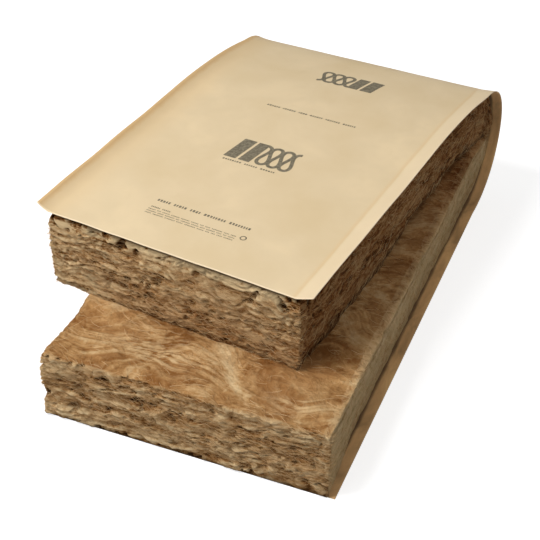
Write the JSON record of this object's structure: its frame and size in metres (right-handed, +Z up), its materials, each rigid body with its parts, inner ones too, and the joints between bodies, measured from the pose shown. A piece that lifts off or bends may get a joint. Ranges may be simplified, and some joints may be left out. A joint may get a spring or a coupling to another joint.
{
  "type": "kraft-faced fiberglass batt",
  "caption": "Kraft-faced fiberglass insulation batt, folded once on itself with the paper facing and its stapling flanges outside.",
  "frame": {"origin": "centre of the bounding box at floor level, under the folded batt", "axes": "+Y towards the round nose of the fold, -Y towards the cut ends, +X along the line of the fold, +Z up"},
  "size_m": [0.5, 0.8144, 0.23],
  "materials": {
    "fiberglass": "matt brown glass wool, loose layered fibres, ragged at the cuts",
    "kraft_paper": "smooth matt kraft paper, asphalt-coated brown on the wool side"
  },
  "bodies": {
    "root": {"fiberglass_blanket": "fiberglass", "kraft_facing": "kraft_paper"}
  },
  "joints": []
}
